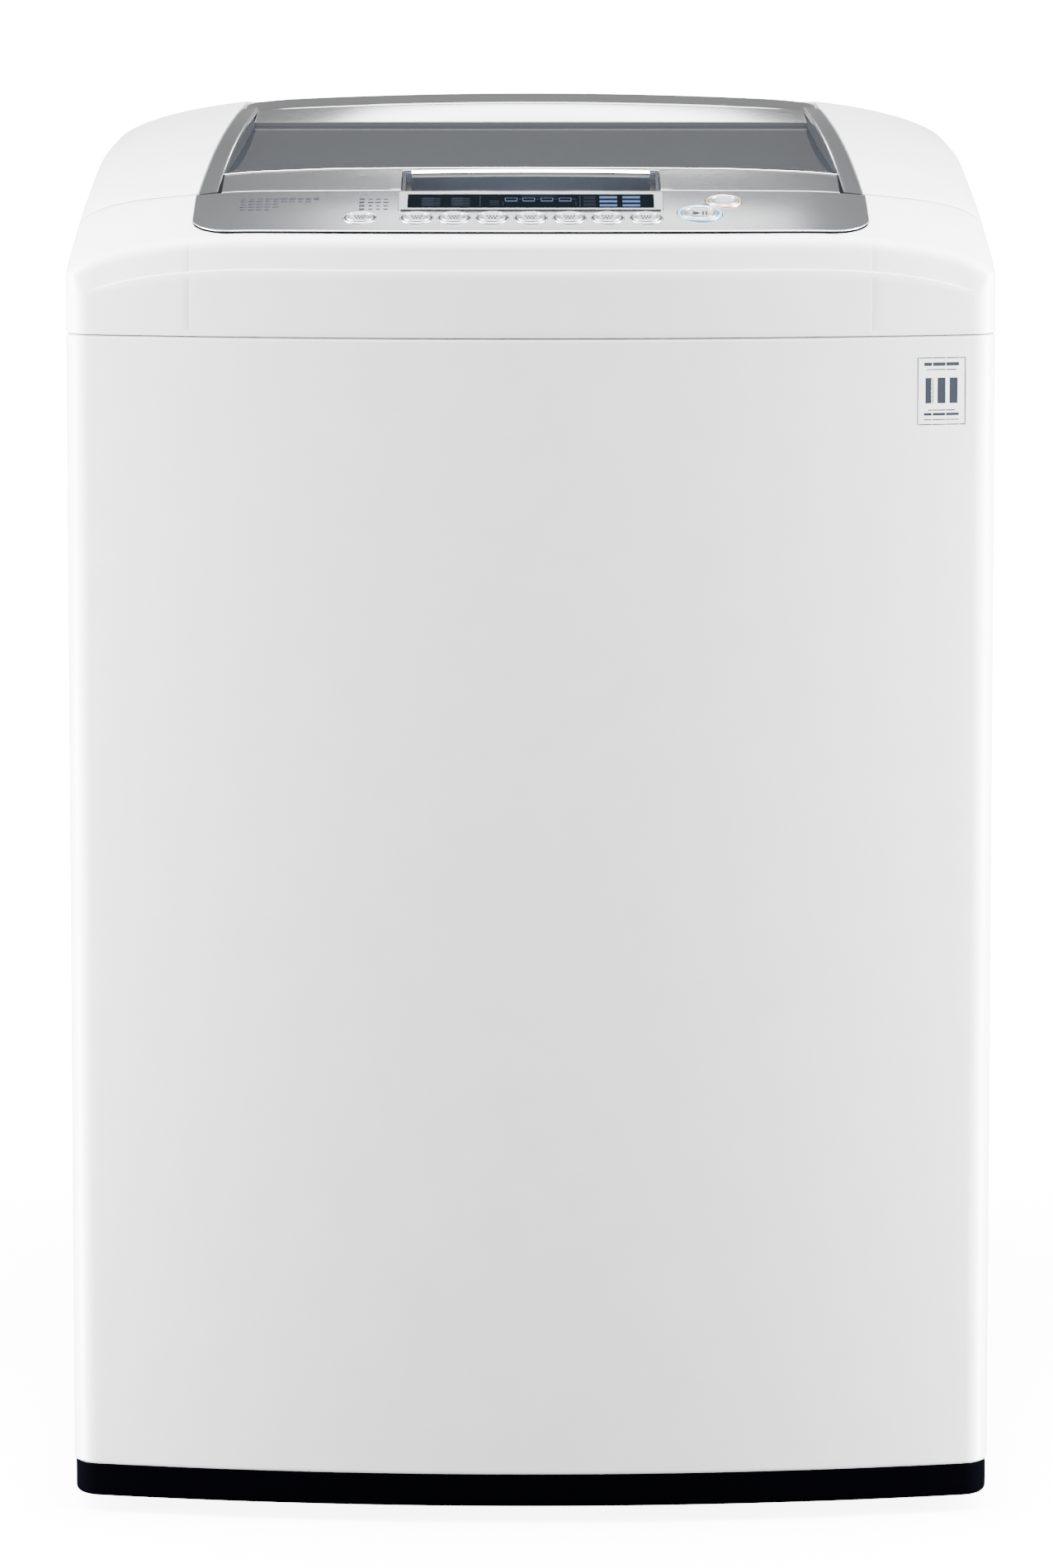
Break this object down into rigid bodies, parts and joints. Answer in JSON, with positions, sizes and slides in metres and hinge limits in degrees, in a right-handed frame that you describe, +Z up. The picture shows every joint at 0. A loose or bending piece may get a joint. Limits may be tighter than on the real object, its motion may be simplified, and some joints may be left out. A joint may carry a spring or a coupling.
{
  "type": "top load washing machine",
  "caption": "Top load washing machine: bowed white cabinet on a black base, sloping silver control panel with display and buttons, hinged glass lid over a steel basket.",
  "frame": {"origin": "centre of the bounding box in plan, on the floor under the feet", "axes": "+Z up, -Y towards the front, +X towards the machine's right as seen from the front"},
  "size_m": [0.686, 0.72, 1.026],
  "materials": {
    "cabinet_paint": "satin enamel",
    "white_plastic": "smooth",
    "silver_plastic": "metallic silver",
    "button_plastic": "pearl silver",
    "ring_gold": "metallic",
    "chrome_trim": "bright",
    "tinted_glass": "tinted",
    "display_black": "gloss",
    "slate_plastic": "satin",
    "black_plastic": "moulded",
    "black_rubber": "matte",
    "zinc_steel": "zinc plated",
    "stainless": "brushed",
    "cast_alloy": "as cast",
    "windings": "enamelled copper",
    "tub_plastic": "moulded",
    "drawer_plastic": "smooth",
    "circuit_green": "lacquered"
  },
  "bodies": {
    "body": {"cabinet": "cabinet_paint", "cabinet_braces": "zinc_steel", "rear_panel": "cabinet_paint", "rear_screws": "zinc_steel", "base": "black_plastic", "lock_nuts": "zinc_steel", "top_cover": "white_plastic", "lid_well": "white_plastic", "control_housing": "white_plastic", "fascia": "silver_plastic", "display_bezel": "silver_plastic", "display_window": "display_black", "button_rings": "ring_gold", "control_board": "circuit_green", "rear_trim": "silver_plastic", "hinge_brackets": "zinc_steel", "inlet_valves": "black_plastic", "dispenser_housing": "white_plastic", "lid_lock": "black_plastic", "suspension_rods": "zinc_steel", "suspension_springs": "zinc_steel", "cord_gland": "black_plastic", "drain_pipe": "black_plastic", "pump_body": "black_plastic", "sump_bellows": "black_rubber"},
    "lid": {"lid_frame": "silver_plastic", "lid_front_cap": "silver_plastic", "handle_recess": "slate_plastic", "handle_bar": "chrome_trim", "lid_glass": "tinted_glass", "lid_liner": "white_plastic", "hinge_pins": "zinc_steel"},
    "button_1": {"button_1": "button_plastic"},
    "button_2": {"button_2": "button_plastic"},
    "button_3": {"button_3": "button_plastic"},
    "button_4": {"button_4": "button_plastic"},
    "button_5": {"button_5": "button_plastic"},
    "button_6": {"button_6": "button_plastic"},
    "button_7": {"button_7": "button_plastic"},
    "button_8": {"button_8": "button_plastic"},
    "power_button": {"power_button": "button_plastic"},
    "start_button": {"start_button": "button_plastic"},
    "tub": {"tub": "tub_plastic", "tub_ring": "tub_plastic", "bearing_housing": "cast_alloy", "bearings": "zinc_steel", "stator": "windings"},
    "basket": {"basket": "stainless", "balance_ring": "tub_plastic", "spin_shaft": "stainless"},
    "wash_plate": {"wash_plate": "tub_plastic", "drive_shaft": "stainless", "rotor": "zinc_steel"},
    "clutch": {"clutch_coupler": "black_plastic"},
    "foot_front_left": {"foot_front_left": "black_rubber"},
    "foot_front_right": {"foot_front_right": "black_rubber"},
    "foot_rear_left": {"foot_rear_left": "black_rubber"},
    "foot_rear_right": {"foot_rear_right": "black_rubber"},
    "drawer": {"dispenser_drawer": "drawer_plastic"},
    "impeller": {"pump_impeller": "tub_plastic"}
  },
  "joints": [
    {"name": "lid_hinge", "type": "hinge", "parent": "body", "child": "lid", "pos_m": [0, 0.222, 1.012], "axis": [-1, 0, 0], "range_deg": [0, 95]},
    {"name": "button_1_press", "type": "slide", "parent": "body", "child": "button_1", "axis": [0, 0.2622, -0.965], "range_m": [0, 0.0015], "stiffness_N_per_m": 400, "springref_m": -0.001},
    {"name": "button_2_press", "type": "slide", "parent": "body", "child": "button_2", "axis": [0, 0.2622, -0.965], "range_m": [0, 0.0015], "stiffness_N_per_m": 400, "springref_m": -0.001},
    {"name": "button_3_press", "type": "slide", "parent": "body", "child": "button_3", "axis": [0, 0.2622, -0.965], "range_m": [0, 0.0015], "stiffness_N_per_m": 400, "springref_m": -0.001},
    {"name": "button_4_press", "type": "slide", "parent": "body", "child": "button_4", "axis": [0, 0.2622, -0.965], "range_m": [0, 0.0015], "stiffness_N_per_m": 400, "springref_m": -0.001},
    {"name": "button_5_press", "type": "slide", "parent": "body", "child": "button_5", "axis": [0, 0.2622, -0.965], "range_m": [0, 0.0015], "stiffness_N_per_m": 400, "springref_m": -0.001},
    {"name": "button_6_press", "type": "slide", "parent": "body", "child": "button_6", "axis": [0, 0.2622, -0.965], "range_m": [0, 0.0015], "stiffness_N_per_m": 400, "springref_m": -0.001},
    {"name": "button_7_press", "type": "slide", "parent": "body", "child": "button_7", "axis": [0, 0.2622, -0.965], "range_m": [0, 0.0015], "stiffness_N_per_m": 400, "springref_m": -0.001},
    {"name": "button_8_press", "type": "slide", "parent": "body", "child": "button_8", "axis": [0, 0.2622, -0.965], "range_m": [0, 0.0015], "stiffness_N_per_m": 400, "springref_m": -0.001},
    {"name": "power_button_press", "type": "slide", "parent": "body", "child": "power_button", "axis": [0, 0.2622, -0.965], "range_m": [0, 0.0015], "stiffness_N_per_m": 400, "springref_m": -0.001},
    {"name": "start_button_press", "type": "slide", "parent": "body", "child": "start_button", "axis": [0, 0.2622, -0.965], "range_m": [0, 0.0015], "stiffness_N_per_m": 400, "springref_m": -0.001},
    {"name": "tub_bounce", "type": "slide", "parent": "body", "child": "tub", "axis": [0, 0, 1], "range_m": [-0.02, 0.01], "stiffness_N_per_m": 12000, "springref_m": 0.0262, "deforming": ["suspension_springs", "sump_bellows"]},
    {"name": "basket_spin", "type": "hinge", "parent": "tub", "child": "basket", "pos_m": [0, 0, 0.5], "axis": [0, 0, 1], "continuous": true},
    {"name": "wash_spin", "type": "hinge", "parent": "tub", "child": "wash_plate", "pos_m": [0, 0, 0.28], "axis": [0, 0, 1], "continuous": true},
    {"name": "clutch_shift", "type": "slide", "parent": "basket", "child": "clutch", "axis": [0, 0, 1], "range_m": [0, 0.008]},
    {"name": "foot_front_left_level", "type": "slide", "parent": "body", "child": "foot_front_left", "axis": [0, 0, -1], "range_m": [0, 0.015]},
    {"name": "foot_front_right_level", "type": "slide", "parent": "body", "child": "foot_front_right", "axis": [0, 0, -1], "range_m": [0, 0.015]},
    {"name": "foot_rear_left_level", "type": "slide", "parent": "body", "child": "foot_rear_left", "axis": [0, 0, -1], "range_m": [0, 0.015]},
    {"name": "foot_rear_right_level", "type": "slide", "parent": "body", "child": "foot_rear_right", "axis": [0, 0, -1], "range_m": [0, 0.015]},
    {"name": "drawer_slide", "type": "slide", "parent": "body", "child": "drawer", "axis": [0, -1, 0], "range_m": [0, 0.09]},
    {"name": "impeller_spin", "type": "hinge", "parent": "body", "child": "impeller", "pos_m": [-0.2, 0.2, 0.08], "axis": [0, 0, 1], "continuous": true}
  ]
}
